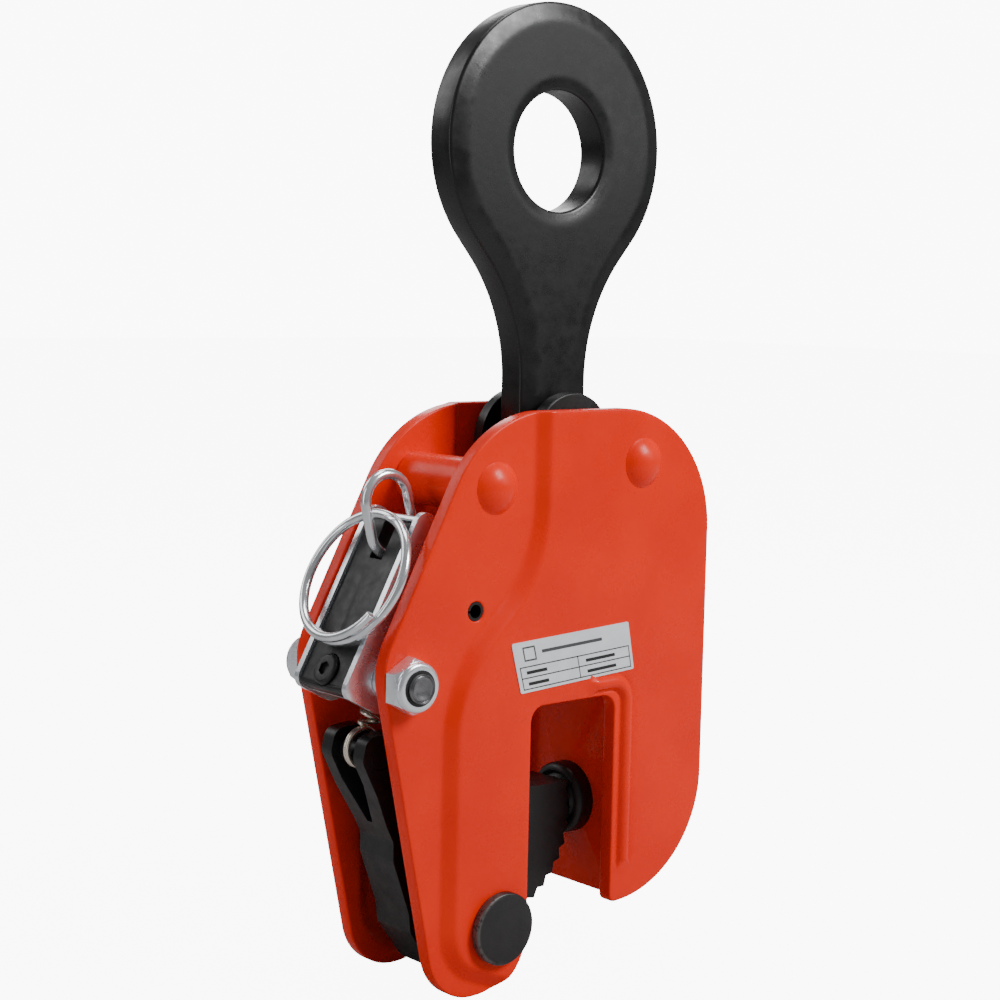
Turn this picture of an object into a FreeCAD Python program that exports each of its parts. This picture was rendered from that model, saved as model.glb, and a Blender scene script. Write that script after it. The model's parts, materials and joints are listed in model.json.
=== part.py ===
import FreeCAD, Part
import math
import os

# Vertical plate lifting clamp with a throat 80 mm wide from its left edge to the jaw pad.
# Fully open, the cam leaves about 60 mm of that width free.
# Millimetres. The origin is the centre of the lifting eye's hole.
# +X points from the cam towards the fixed jaw, +Y towards the rear plate, +Z up.
# The clamp is closed: the eye is fully drawn out and the cam is against the fixed jaw.

V = FreeCAD.Vector

# ---- driving dimensions -------------------------------------------------------------
eye_bore_r = 45.0
eye_outer_r = 106.0
eye_thick = 30.0
eye_centre_up = 4.0          # the ring's outer circle sits this much above the hole's centre
shank_half = 33.0
shank_head_r = 37.0
pin_drop = 219.0             # from the eye's hole to the eye pin

plate_thick = 12.0
gap_half = 41.0              # inner face of the narrow region of a side plate
joggle_step = 7.0            # the jaw region of a side plate stands out by this much
joggle_width = 10.5

plate_top = -191.0
plate_right = 125.0
plate_bottom = -573.0
leg_bottom = -620.5
throat_left = -58.0
throat_right = 27.0
throat_top = -409.0
left_corner = (-192.6, -367.5)
top_left_vertex_x = -100.0
leg_left_vertex_x = -138.4

cam_pivot = (-85.0, -570.0)
cam_pin_r = 18.0
cam_half = 20.0
cam_hub_r = 37.0
tooth_centre = (-57.0, -505.0)
tooth_crest_r = 78.0
tooth_depth = 4.2
tooth_pitch_deg = 9.2
tooth_first_deg = 16.0
tooth_count = 9

fork_pin = (-170.0, -438.0)
fork_pin_r = 9.0
fork_half = 25.0
fork_slot_half = 13.0
link_pin = (-115.0, -518.0)
link_pin_r = 8.5
long_hole_run = (5.1, -9.6)  # the cam's hole for the links' pin is long by this much
long_hole_r = 10.45
fork_root = 50.0             # from the fork's pin to the root of its slot
eye_pin_r = 14.0
link_thick = 10.0
link_inner = fork_half + 0.5

lever_axis = (-171.0, -380.0)
lever_lean_deg = 61.6        # the lever's long direction, from +X
lever_half = 31.0
lever_wall = 5.0
lever_front = 31.0           # free edges of the lever's walls, ahead of its axis
bolt_r = 10.5
bolt_waist_r = 8.6

left_stud = (-90.0, -246.0)
right_stud = (51.0, -233.0)
stud_r = 9.5
spacer_r = 19.7
stop_pin = (-108.0, -334.0)

pad_r = 28.0
pad_face_x = 22.0
pad_z = -502.0
block_face_x = 37.8

running = 0.05               # radial clearance of a running fit
gap = 0.35                   # gap between neighbouring faces that don't fit

outer_narrow = gap_half + plate_thick
inner_wide = gap_half + joggle_step
outer_wide = inner_wide + plate_thick

eye_pin = (0.0, -pin_drop)


# ---- helpers ------------------------------------------------------------------------
def rounded_edges(corners, y):
    """Edges of a closed outline in the plane at y: corners are (x, z, radius)."""
    count = len(corners)
    ends = []
    for i in range(count):
        x, z, r = corners[i]
        here = V(x, y, z)
        before = V(corners[i - 1][0], y, corners[i - 1][1]) - here
        after = V(corners[(i + 1) % count][0], y, corners[(i + 1) % count][1]) - here
        if r <= 0:
            ends.append((here, None, here))
            continue
        half = before.getAngle(after) / 2
        before.normalize()
        after.normalize()
        reach = r / math.tan(half)
        middle = before + after
        middle.normalize()
        mid = here + middle * (r / math.sin(half) - r)
        ends.append((here + before * reach, mid, here + after * reach))
    edges = []
    for i in range(count):
        start, mid, end = ends[i]
        if mid is not None:
            edges.append(Part.Arc(start, mid, end).toShape())
        following = ends[(i + 1) % count][0]
        if (following - end).Length > 1e-6:
            edges.append(Part.LineSegment(end, following).toShape())
    return edges


def prism(corners, y0, y1):
    """A plate between y0 and y1 with a rounded outline in X and Z."""
    face = Part.Face(Part.Wire(rounded_edges(corners, y0)))
    return face.extrude(V(0, y1 - y0, 0))


def rod_y(at, y0, y1, r):
    return Part.makeCylinder(r, y1 - y0, V(at[0], y0, at[1]), V(0, 1, 0))


def ring_y(at, y0, y1, outer, inner):
    return rod_y(at, y0, y1, outer).cut(rod_y(at, y0 - 1, y1 + 1, inner))


def rod_x(y, z, x0, x1, r):
    return Part.makeCylinder(r, x1 - x0, V(x0, y, z), V(1, 0, 0))


def mirrored(shape):
    """The same piece on the rear side."""
    return shape.mirror(V(0, 0, 0), V(0, 1, 0))


def fused(shapes):
    return shapes[0].multiFuse(shapes[1:]).removeSplitter()


def softened(shape, r, keep):
    """Rounds the edges that keep() picks; the shape is returned as it is if that can't be done."""
    edges = [e for e in shape.Edges if keep(e)]
    try:
        rounded = shape.makeFillet(r, edges)
    except Exception:
        return shape
    return rounded if rounded.isValid() and rounded.Solids else shape


def on_plane_y(y):
    """Picks the edges that lie in the plane at y."""
    def keep(edge):
        return abs(edge.BoundBox.YMin - y) < 1e-4 and abs(edge.BoundBox.YMax - y) < 1e-4
    return keep


def polar(centre, r, degrees):
    a = math.radians(degrees)
    return centre[0] + r * math.cos(a), centre[1] + r * math.sin(a)


lever_turn = math.radians(lever_lean_deg)
lever_u = V(math.cos(lever_turn), 0, math.sin(lever_turn))       # along the lever, upwards
lever_n = V(-math.sin(lever_turn), 0, math.cos(lever_turn))      # out of its open face


def on_lever(u, n, y=0.0):
    return V(lever_axis[0], 0, lever_axis[1]) + lever_u * u + lever_n * n + V(0, y, 0)


def lever_corners(corners):
    """Lever coordinates (u, n, radius) as outline corners (x, z, radius)."""
    placed = []
    for u, n, r in corners:
        p = on_lever(u, n)
        placed.append((p.x, p.z, r))
    return placed


def tube_along(points, r, closed=False):
    """A round bar along straight runs joined by tangent arcs: points are (vector, bend radius)."""
    count = len(points)
    ends = []
    for i in range(count):
        here, bend = points[i]
        if not closed and i in (0, count - 1):
            ends.append((here, None, here))
            continue
        before = points[i - 1][0] - here
        after = points[(i + 1) % count][0] - here
        half = before.getAngle(after) / 2
        before.normalize()
        after.normalize()
        reach = bend / math.tan(half)
        middle = before + after
        middle.normalize()
        mid = here + middle * (bend / math.sin(half) - bend)
        ends.append((here + before * reach, mid, here + after * reach))
    edges = []
    for i in range(count):
        start, mid, end = ends[i]
        if mid is not None:
            edges.append(Part.Arc(start, mid, end).toShape())
        if i == count - 1 and not closed:
            break
        following = ends[(i + 1) % count][0]
        if (following - end).Length > 1e-6:
            edges.append(Part.LineSegment(end, following).toShape())
    path = Part.Wire(edges)
    first = edges[0]
    start = first.valueAt(first.FirstParameter)
    heading = first.tangentAt(first.FirstParameter)
    section = Part.Wire(Part.makeCircle(r, start, heading))
    return path.makePipeShell([section], True, False)


# ---- side plates --------------------------------------------------------------------
plate_corners = [
    (top_left_vertex_x, plate_top, 97.0),
    (plate_right, plate_top, 97.0),
    (plate_right, plate_bottom, 92.0),
    (throat_right, plate_bottom, 5.5),
    (throat_right, throat_top, 12.0),
    (throat_left, throat_top, 12.0),
    (throat_left, leg_bottom, 42.5),
    (leg_left_vertex_x, leg_bottom, 42.5),
    (left_corner[0], left_corner[1], 50.0),
]

joggle_top_x = -49.0
joggle_turn_z = -258.0
joggle_bend_deg = 46.0
joggle_upper_r = 108.0
joggle_run = 27.0
joggle_lower_r = 100.0
joggle_foot_z = -566.0
joggle_foot_r = 40.0
joggle_foot_deg = 68.0
beyond = 60.0                # how far the cutting tools pass the plate's edge


def joggle_edges(offset, y):
    """The line of the joggle, moved sideways by offset, from above the plate to below it."""
    bend = math.radians(joggle_bend_deg)
    upper_c = (joggle_top_x - joggle_upper_r, joggle_turn_z)
    upper_r = joggle_upper_r + offset
    end_upper = polar(upper_c, upper_r, -joggle_bend_deg)
    start_lower = (end_upper[0] - joggle_run * math.sin(bend), end_upper[1] - joggle_run * math.cos(bend))
    lower_r = joggle_lower_r - offset
    lower_c = polar(start_lower, lower_r, -joggle_bend_deg)
    left_x = lower_c[0] - lower_r
    foot_r = joggle_foot_r - offset
    foot_c = (left_x + foot_r, joggle_foot_z)
    foot_end = polar(foot_c, foot_r, 180 + joggle_foot_deg)
    foot = math.radians(joggle_foot_deg)
    exit_end = (foot_end[0] + 2 * beyond * math.sin(foot), foot_end[1] - 2 * beyond * math.cos(foot))
    top = (joggle_top_x + offset, plate_top + beyond)

    def at(p):
        return V(p[0], y, p[1])

    def line(p, q):
        return Part.LineSegment(at(p), at(q)).toShape()

    def arc(centre, r, a, b):
        start, mid, end = (at(polar(centre, r, k)) for k in (a, (a + b) / 2, b))
        return Part.Arc(start, mid, end).toShape()

    edges = [
        line(top, (top[0], joggle_turn_z)),
        arc(upper_c, upper_r, 0, -joggle_bend_deg),
        line(end_upper, start_lower),
        arc(lower_c, lower_r, 180 - joggle_bend_deg, 180),
        line((left_x, lower_c[1]), (left_x, joggle_foot_z)),
        arc(foot_c, foot_r, 180, 180 + joggle_foot_deg),
        line(foot_end, exit_end),
    ]
    return edges, top, exit_end


def joggle_region(offset, y, side):
    """A closed outline that holds everything on one side of the joggle line."""
    edges, top, low = joggle_edges(offset, y)
    far_x = side * 400.0
    low_z = plate_bottom - 3 * beyond
    corners = [low, (low[0], low_z), (far_x, low_z), (far_x, top[1]), top]
    for a, b in zip(corners, corners[1:]):
        edges.append(Part.LineSegment(V(a[0], y, a[1]), V(b[0], y, b[1])).toShape())
    return Part.Wire(edges)


def joggle_tool(near, near_offset, far, far_offset, side):
    """The space beside the sloped joggle between two depths."""
    wires = [joggle_region(near_offset, near, side), joggle_region(far_offset, far, side)]
    return Part.makeLoft(wires, True, True)


bead_gap = 12.8              # from the throat's upright edge to the bead's middle
bead_top_z = -399.4
bead_r = 6.0
bead_sunk = 2.2
bead_corner_r = 16.0
bead_low_z = -540.0
bead_left_x = 6.5


def throat_bead():
    """A half-round stiffening bead around the throat's upper right corner, as seen on the front."""
    y = -(outer_wide - bead_sunk)
    x = throat_right + bead_gap
    z = bead_top_z
    upright = Part.makeCylinder(bead_r, z - bead_corner_r - bead_low_z, V(x, y, bead_low_z), V(0, 0, 1))
    across = rod_x(y, z, bead_left_x, x - bead_corner_r, bead_r)
    bend_at = V(x - bead_corner_r, y, z - bead_corner_r)
    whole = Part.makeTorus(bead_corner_r, bead_r, bend_at, V(0, 1, 0))
    quarter = Part.makeBox(60, 60, 60, V(bend_at.x, y - 30, bend_at.z))
    ends = [Part.makeSphere(bead_r, V(x, y, bead_low_z)), Part.makeSphere(bead_r, V(bead_left_x, y, z))]
    return fused([upright, across, whole.common(quarter)] + ends)


stud_hole_r = stud_r + running
roll_pin_r = 7.0


def front_side_plate():
    body = prism(plate_corners, -outer_wide, -gap_half)
    slope = joggle_width / joggle_step
    outside = joggle_tool(-outer_narrow, -joggle_width / 2, -(outer_wide + 1), joggle_width / 2 + slope, -1)
    inside = joggle_tool(-inner_wide, joggle_width / 2, -(gap_half - 1), -joggle_width / 2 - slope, 1)
    body = body.cut(outside).cut(inside)
    body = body.fuse(throat_bead()).removeSplitter()
    for at, r in (
        (left_stud, stud_hole_r),
        (right_stud, stud_hole_r),
        (cam_pivot, cam_pin_r + running),
        (lever_axis, bolt_r + running),
        (stop_pin, roll_pin_r + 0.02),
    ):
        body = body.cut(rod_y(at, -outer_wide - 5, -gap_half + 5, r))
    return body


# ---- studs and spacer ---------------------------------------------------------------
dome_r = 19.0
dome_height = 8.5


def dome(at, y, outwards):
    """A domed stud head whose flat side lies at y."""
    ball_r = (dome_r ** 2 + dome_height ** 2) / (2 * dome_height)
    ball = Part.makeSphere(ball_r, V(at[0], y - outwards * (ball_r - dome_height), at[1]))
    y0, y1 = sorted((y, y + outwards * (dome_height + 1)))
    return ball.common(rod_y(at, y0, y1, dome_r))


def domed_stud(at, face):
    shank = rod_y(at, -face - 1, face + 1, stud_r)
    return fused([shank, dome(at, face, 1), dome(at, -face, -1)])


def left_spacer_tube():
    return ring_y(left_stud, -gap_half + 0.02, gap_half - 0.02, spacer_r, stud_r + running)


def right_spacer_tube():
    return ring_y(right_stud, -inner_wide + 0.02, -inner_wide + 11, stud_r + 4, stud_r + running)


def roll_pin():
    """A slotted spring pin through both side plates."""
    pin = ring_y(stop_pin, -outer_narrow + 0.5, outer_narrow - 0.5, roll_pin_r, 5.0)
    slot = Part.makeBox(8, 2 * outer_narrow, 1.6, V(stop_pin[0] - 8.5, -outer_narrow, stop_pin[1] - 0.8))
    return pin.cut(slot)


# ---- fixed jaw ----------------------------------------------------------------------
block_right_x = 92.0
block_top_z = -400.0
block_bottom_z = -571.0
spigot_r = 13.0
spigot_end_x = 66.0


def jaw_block():
    corners = [
        (block_face_x, block_bottom_z, 2.0),
        (block_right_x, block_bottom_z, 40.0),
        (block_right_x, block_top_z, 10.0),
        (block_face_x, block_top_z, 4.0),
    ]
    body = prism(corners, -inner_wide + 0.02, inner_wide - 0.02)
    body = body.cut(rod_x(0, pad_z, block_face_x - 1, spigot_end_x, spigot_r + running))
    body = body.cut(rod_x(0, pad_z, spigot_end_x - 1, block_right_x + 1, 7.0))
    return body.cut(rod_x(0, pad_z, block_right_x - 9.5, block_right_x + 1, 16.0))


def fixed_jaw_pad():
    """The round toothed pad: a thick disc with a rounded rim and rings of teeth, on a spigot."""
    disc = rod_x(0, pad_z, pad_face_x, block_face_x - gap, pad_r)
    disc = softened(disc, 6.0, lambda e: e.BoundBox.XMax < pad_face_x + 0.1)
    for ring_r in (3.5, 9.0, 14.5, 20.0):
        outer = Part.makeCone(ring_r + 2.6, ring_r, 2.4, V(pad_face_x - 0.01, 0, pad_z), V(1, 0, 0))
        inner = Part.makeCone(ring_r - 2.6, ring_r, 2.4, V(pad_face_x - 0.01, 0, pad_z), V(1, 0, 0))
        disc = disc.cut(outer.cut(inner))
    spigot = rod_x(0, pad_z, block_face_x - gap - 1, spigot_end_x - gap, spigot_r)
    body = disc.fuse(spigot).removeSplitter()
    return body.cut(rod_x(0, pad_z, spigot_end_x - 28, spigot_end_x, 5.0))


def pad_washer():
    x = block_right_x - 9.5 + gap
    return rod_x(0, pad_z, x, x + 2.5, 13.0).cut(rod_x(0, pad_z, x - 1, x + 4, 5.2))


def pad_screw():
    x = block_right_x - 9.5 + gap + 2.5
    body = rod_x(0, pad_z, spigot_end_x - 26, x + 0.5, 4.98).fuse(rod_x(0, pad_z, x, x + 6.2, 9.0))
    socket = prism([polar((0, 0), 4.6, 60 * i) + (0,) for i in range(6)], 0, 4.0)
    socket.rotate(V(0, 0, 0), V(0, 0, 1), -90)
    socket.translate(V(x + 3.0, 0, pad_z))
    return body.removeSplitter().cut(socket)


# ---- cam ----------------------------------------------------------------------------
def tooth_points():
    """Crests and roots along the cam's gripping edge, from the top down."""
    points = []
    for k in range(tooth_count):
        a = tooth_first_deg - k * tooth_pitch_deg
        points.append(polar(tooth_centre, tooth_crest_r, a))
        points.append(polar(tooth_centre, tooth_crest_r - tooth_depth, a - 0.42 * tooth_pitch_deg))
    return points


def tail_axis():
    along = V(cam_pivot[0] - fork_pin[0], 0, cam_pivot[1] - fork_pin[1])
    along.normalize()
    return along, V(-along.z, 0, along.x)


def long_hole(r, half):
    """The space swept by the links' pin in the cam's tail, as a rounded bar."""
    low = (link_pin[0] + long_hole_run[0], link_pin[1] + long_hole_run[1])
    length = math.hypot(long_hole_run[0], long_hole_run[1])
    side = V(long_hole_run[1], 0, -long_hole_run[0]) * (r / length)
    a = V(link_pin[0], -half, link_pin[1])
    b = V(low[0], -half, low[1])
    outline = Part.makePolygon([a + side, b + side, b - side, a - side, a + side])
    middle = Part.Face(outline).extrude(V(0, 2 * half, 0))
    return fused([middle, rod_y(link_pin, -half, half, r), rod_y(low, -half, half, r)])


def cam():
    jaw = [(x, z, 0.6) for x, z in tooth_points()]
    jaw += [
        (-52.0, -612.0, 30.0),
        (-110.0, -612.0, 24.0),
        (-137.0, -575.0, 12.0),
        (-140.0, -548.0, 8.0),
        (-112.0, -530.0, 10.0),
        (-70.0, -530.0, 20.0),
        (-30.0, -482.0, 8.0),
    ]
    body = prism(jaw, -cam_half, cam_half)
    hub = rod_y(cam_pivot, -cam_half, cam_half, cam_hub_r)
    tail_line = [
        (-112.0, -600.0, 20.0),
        (-136.5, -566.0, 12.0),
        (-154.0, -518.0, 9.0),
        (-154.0, -504.0, 9.0),
        (-187.0, -439.0, 10.0),
        (-183.0, -422.0, 10.0),
        (-154.0, -420.0, 14.0),
        (-108.0, -518.0, 20.0),
        (-85.0, -560.0, 10.0),
    ]
    tail = prism(tail_line, -cam_half, cam_half)
    along, across = tail_axis()
    flare = []
    for t, y in ((-24, fork_half), (22, fork_half), (fork_root, cam_half), (fork_root, -cam_half),
                 (22, -fork_half), (-24, -fork_half)):
        flare.append(V(fork_pin[0], y, fork_pin[1]) + along * t - across * 60)
    flare.append(flare[0])
    flared = Part.Face(Part.makePolygon(flare)).extrude(across * 120)
    fork = prism(tail_line, -fork_half, fork_half).common(flared)
    body = fused([body, hub, tail, fork])
    slot = []
    for t, y in ((-60, fork_slot_half), (14, fork_slot_half), (fork_root, 3), (fork_root, -3),
                 (14, -fork_slot_half), (-60, -fork_slot_half)):
        slot.append(V(fork_pin[0], y, fork_pin[1]) + along * t - across * 60)
    slot.append(slot[0])
    body = body.cut(Part.Face(Part.makePolygon(slot)).extrude(across * 120))
    body = body.cut(rod_y(cam_pivot, -60, 60, cam_pin_r + running))
    body = body.cut(rod_y(fork_pin, -60, 60, fork_pin_r + 0.02))
    return body.fuse(long_hole(long_hole_r + 4.2, cam_half)).removeSplitter().cut(long_hole(long_hole_r, 60))


button_r = 27.0
button_height = 6.5


def cam_pin():
    """The cam's pivot pin with its black button head on the front."""
    shank = rod_y(cam_pivot, -outer_wide - 1, outer_wide + 5.5, cam_pin_r)
    head = rod_y(cam_pivot, -outer_wide - gap - button_height, -outer_wide - gap, button_r)
    head = softened(head, 1.2, on_plane_y(-outer_wide - gap - button_height))
    return fused([shank, head])


def cam_pin_cap():
    """The rear button, pressed on the pin's end."""
    y0 = outer_wide + gap
    cap = rod_y(cam_pivot, y0, y0 + button_height, button_r)
    cap = softened(cap, 1.2, on_plane_y(y0 + button_height))
    return cap.cut(rod_y(cam_pivot, y0 - 1, y0 + 5.2 - gap + 0.35, cam_pin_r))


def cam_bush_front():
    return ring_y(cam_pivot, -inner_wide + gap, -cam_half - gap, 25.0, cam_pin_r + 0.08)


def fork_cross_pin():
    """The pin across the cam's fork that the lock spring hooks on."""
    return rod_y(fork_pin, -fork_half + 0.5, fork_half - 0.5, fork_pin_r)


# ---- lifting eye and links ----------------------------------------------------------
flank_deg = 41.0
rim_wide = 11.0
rim_deep = 2.5


def eye_corners_shape(offset, y0, y1):
    """The pear-shaped outline of the eye, drawn in by offset, between y0 and y1."""
    ring = rod_y((0, eye_centre_up), y0, y1, eye_outer_r - offset)
    foot = rod_y(eye_pin, y0, y1, shank_head_r - offset)
    flank = math.radians(flank_deg)
    touch = polar((0, eye_centre_up), eye_outer_r - offset, -flank_deg)
    waist = (shank_half - offset, -165.0)
    meet_z = touch[1] - (touch[0] - waist[0]) / math.tan(flank)
    corners = [
        (touch[0], touch[1], 0),
        (waist[0], meet_z, 140.0 + offset),
        (waist[0], -pin_drop, 0),
        (-waist[0], -pin_drop, 0),
        (-waist[0], meet_z, 140.0 + offset),
        (-touch[0], touch[1], 0),
    ]
    return fused([ring, foot, prism(corners, y0, y1)])


def lifting_eye():
    half = eye_thick / 2
    edge_wide = 15.0
    edge_deep = 4.0
    body = eye_corners_shape(0.0, -half, half)
    try:
        edges = [e for e in body.Edges if on_plane_y(half)(e) or on_plane_y(-half)(e)]
        shaped = body.makeChamfer(edge_deep, edge_wide, edges)
        if shaped.isValid() and shaped.Solids:
            body = shaped
    except Exception as problem:
        print("eye chamfer:", problem)
    body = body.cut(rod_y((0, 0), -half - 1, half + 1, eye_bore_r))
    for side in (-1, 1):
        rim = Part.makeCone(eye_bore_r, eye_bore_r + rim_wide, rim_deep, V(0, side * (half - rim_deep), 0),
                            V(0, side, 0))
        body = body.cut(rim)
    body = body.cut(rod_y(eye_pin, -half - 1, half + 1, eye_pin_r + running))
    return body


link_top_r = 39.0
link_low_r = 21.0
link_waist = 17.0


def link_plate_front():
    along = V(link_pin[0] - eye_pin[0], 0, link_pin[1] - eye_pin[1])
    length = along.Length
    along.normalize()
    across = V(-along.z, 0, along.x)
    y0 = -link_inner - link_thick
    y1 = -link_inner
    outline = []
    for s, t, bend in (
        (0, link_top_r, 0),
        (50, link_waist, 60),
        (length - 24, link_waist, 30),
        (length, link_low_r, 0),
    ):
        outline.append((s, t, bend))
    corners = []
    for s, t, bend in outline + [(s, -t, bend) for s, t, bend in reversed(outline)]:
        p = V(eye_pin[0], 0, eye_pin[1]) + along * s + across * t
        corners.append((p.x, p.z, bend))
    web = prism(corners, y0, y1)
    body = fused([web, rod_y(eye_pin, y0, y1, link_top_r), rod_y(link_pin, y0, y1, link_low_r)])
    body = softened(body, 1.5, on_plane_y(y0))
    body = body.cut(rod_y(eye_pin, y0 - 1, y1 + 1, eye_pin_r + running))
    return body.cut(rod_y(link_pin, y0 - 1, y1 + 1, link_pin_r + 0.02))


def eye_cross_pin():
    reach = link_inner + link_thick + 3.6
    body = rod_y(eye_pin, -reach, reach, eye_pin_r)
    for y in (-reach + 1.2, reach - 2.8):
        body = body.cut(ring_y(eye_pin, y, y + 1.6, eye_pin_r + 1, eye_pin_r - 1.4))
    return body


def eye_bush_front():
    return ring_y(eye_pin, -link_inner + gap, -eye_thick / 2 - gap, 24.0, eye_pin_r + 0.08)


def circlip(at, y, r):
    """An open spring ring in a pin's groove."""
    body = ring_y(at, y, y + 1.4, r + 3.2, r - 1.3)
    mouth = Part.makeBox(7, 3, 30, V(at[0] - 3.5, y - 1, at[1]))
    return body.cut(mouth)


def eye_circlips():
    reach = link_inner + link_thick + 3.6
    clips = [circlip(eye_pin, y, eye_pin_r) for y in (-reach + 1.3, reach - 2.7)]
    return Part.makeCompound(clips)


def link_cross_pin():
    reach = link_inner + link_thick + 1.5
    return rod_y(link_pin, -reach, reach, link_pin_r)


# ---- lock lever ---------------------------------------------------------------------
lever_top_u = 120.0
lever_low_u = -25.0
web_back = 10.0
web_front = 13.5
core_low_u = -23.0
core_high_u = 109.4
core_back = 13.8
core_front = 28.6
web_high_u = 77.0
link_notch_u = 78.0          # the core is open from here up, where the chain link swings
link_notch_half = 7.0
lever_back = -15.0
anchor_u = 88.2
anchor_n = -3.6
anchor_r = 4.0
bridge_u = (110.0, 115.0)
bridge_n = (18.0, 28.0)


def lever_channel():
    """The zinc-plated lever: two walls, a web behind the core and a bar across the top."""
    wall = lever_corners([
        (lever_low_u, lever_front, 9.0),
        (lever_low_u, lever_back, 14.0),
        (96.0, lever_back, 12.0),
        (lever_top_u, 10.0, 12.0),
        (lever_top_u, lever_front, 9.0),
    ])
    front = prism(wall, -lever_half, -lever_half + lever_wall)
    rear = prism(wall, lever_half - lever_wall, lever_half)
    inside = lever_half - lever_wall
    web = prism(lever_corners([
        (core_low_u, web_back, 0),
        (core_low_u, web_front, 0),
        (web_high_u, web_front, 0),
        (web_high_u, web_back, 0),
    ]), -inside, inside)
    bar = lever_corners([
        (bridge_u[0], bridge_n[0], 2.0),
        (bridge_u[1], bridge_n[0], 2.0),
        (bridge_u[1], bridge_n[1], 2.0),
        (bridge_u[0], bridge_n[1], 2.0),
    ])
    body = fused([front, rear, web, prism(bar, -inside, inside)])
    body = body.cut(rod_y(lever_axis, -40, 40, bolt_r + running))
    hole = on_lever(screw_u, web_back - 5)
    body = body.cut(Part.makeCylinder(4.0, 15.0, hole, lever_n))
    anchor = on_lever(anchor_u, anchor_n)
    return body.cut(rod_y((anchor.x, anchor.z), -40, 40, anchor_r + 0.02))


screw_u = -9.0
screw_r = 11.5


def lever_core():
    """The black block that fills the lever's open face."""
    outline = lever_corners([
        (core_low_u, core_back, 1.0),
        (core_low_u, core_front, 5.0),
        (core_high_u, core_front, 3.0),
        (core_high_u, core_back, 1.0),
    ])
    half = lever_half - lever_wall - gap
    body = prism(outline, -half, half)
    seat = Part.makeCylinder(screw_r + 0.6, 4.0, on_lever(screw_u, core_front - 2.0), lever_n)
    hole = Part.makeCylinder(4.0, 30.0, on_lever(screw_u, core_back - 6), lever_n)
    notch = prism(lever_corners([
        (link_notch_u, core_back - 5, 0),
        (link_notch_u, core_front + 5, 0),
        (core_high_u + 5, core_front + 5, 0),
        (core_high_u + 5, core_back - 5, 0),
    ]), -link_notch_half, link_notch_half)
    return body.cut(seat).cut(hole).cut(notch)


def lever_screw():
    """A large button-head socket screw that holds the core."""
    base = on_lever(screw_u, core_front - 1.9)
    head = Part.makeCylinder(screw_r, 5.4, base, lever_n)
    rim = [e for e in head.Edges if abs((e.CenterOfMass - base).dot(lever_n) - 5.4) < 1e-3]
    head = head.makeFillet(2.6, rim)
    shank = Part.makeCylinder(3.95, core_front - web_back - 1.0, on_lever(screw_u, web_back + 0.2), lever_n)
    body = head.fuse(shank).removeSplitter()
    ring = []
    side = V(0, 1, 0)
    top = on_lever(screw_u, core_front + 0.6)
    for i in range(7):
        a = math.radians(60 * i)
        ring.append(top + lever_u * (5.2 * math.cos(a)) + side * (5.2 * math.sin(a)))
    hexagon = Part.Face(Part.makePolygon(ring)).extrude(lever_n * 6)
    return body.cut(hexagon)


def lever_bolt():
    """The lever's through bolt: full thread at both ends and a waist that clears the spring."""
    reach = outer_narrow + 19.5
    body = rod_y(lever_axis, -reach, reach, bolt_r)
    body = body.cut(ring_y(lever_axis, -25.5, 25.5, bolt_r + 2, bolt_waist_r))
    tips = [e for e in body.Edges if on_plane_y(reach)(e) or on_plane_y(-reach)(e)]
    return body.makeChamfer(2.0, tips)


nut_flats = 36.0
nut_height = 15.6


def lever_nut_front():
    """A lock nut: hexagon with bevelled corners, a collar and a nylon ring."""
    y0 = -outer_narrow - gap
    corner_r = nut_flats / math.sqrt(3)
    hexagon = prism([polar(lever_axis, corner_r, 30 + 60 * i) + (0,) for i in range(6)], y0 - 11.5, y0)
    bevel = Part.makeCone(nut_flats / 2 + 8.5, nut_flats / 2 - 1.0, 14.0, V(lever_axis[0], y0, lever_axis[1]),
                          V(0, -1, 0))
    hexagon = hexagon.common(bevel)
    collar = rod_y(lever_axis, y0 - nut_height, y0 - 11.4, nut_flats / 2 + 0.2)
    collar = softened(collar, 3.2, on_plane_y(y0 - nut_height))
    body = fused([hexagon, collar])
    return body.cut(rod_y(lever_axis, y0 - nut_height - 1, y0 + 1, bolt_r + 0.02))


def nylon_ring_front():
    y0 = -outer_narrow - gap - nut_height
    return ring_y(lever_axis, y0 - 0.6, y0 - 0.02, 12.9, bolt_r + 0.1)


def lever_washer_front():
    return ring_y(lever_axis, -gap_half + gap, -lever_half - gap, 13.5, bolt_r + 0.08)


def spring_anchor_pin():
    anchor = on_lever(anchor_u, anchor_n)
    return rod_y((anchor.x, anchor.z), -lever_half + 0.5, lever_half - 0.5, anchor_r)


# ---- lock spring --------------------------------------------------------------------
spring_wire_r = 1.9
spring_coil_r = 7.4
hook_r = 14.5
anchor_hook_r = anchor_r + 0.3 + spring_wire_r
coil_low = 19.0


def lock_spring():
    """The tension spring, as a plain closed body with its two hook rings."""
    low = V(fork_pin[0], 0, fork_pin[1])
    high = on_lever(anchor_u, anchor_n)
    along = high - low
    length = along.Length
    along.normalize()
    coil_long = length - coil_low - 16.0
    coil = Part.makeCylinder(spring_coil_r + spring_wire_r, coil_long, low + along * coil_low, along)
    hook_at = low + along * (hook_r - fork_pin_r - spring_wire_r - 0.1)
    hooks = [Part.makeTorus(hook_r, spring_wire_r, hook_at + V(0, y, 0), V(0, 1, 0)) for y in (-1.8, 1.8)]
    upper = Part.makeTorus(anchor_hook_r, spring_wire_r, high, V(0, 1, 0))
    neck = Part.makeCylinder(spring_wire_r, 4.0, low + along * (coil_low - 3.0), along)
    top_neck = Part.makeCylinder(spring_wire_r, 16.0 - anchor_hook_r + 1,
                                 high - along * (16.5), along)
    return fused([coil, upper, neck, top_neck] + hooks)


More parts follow.
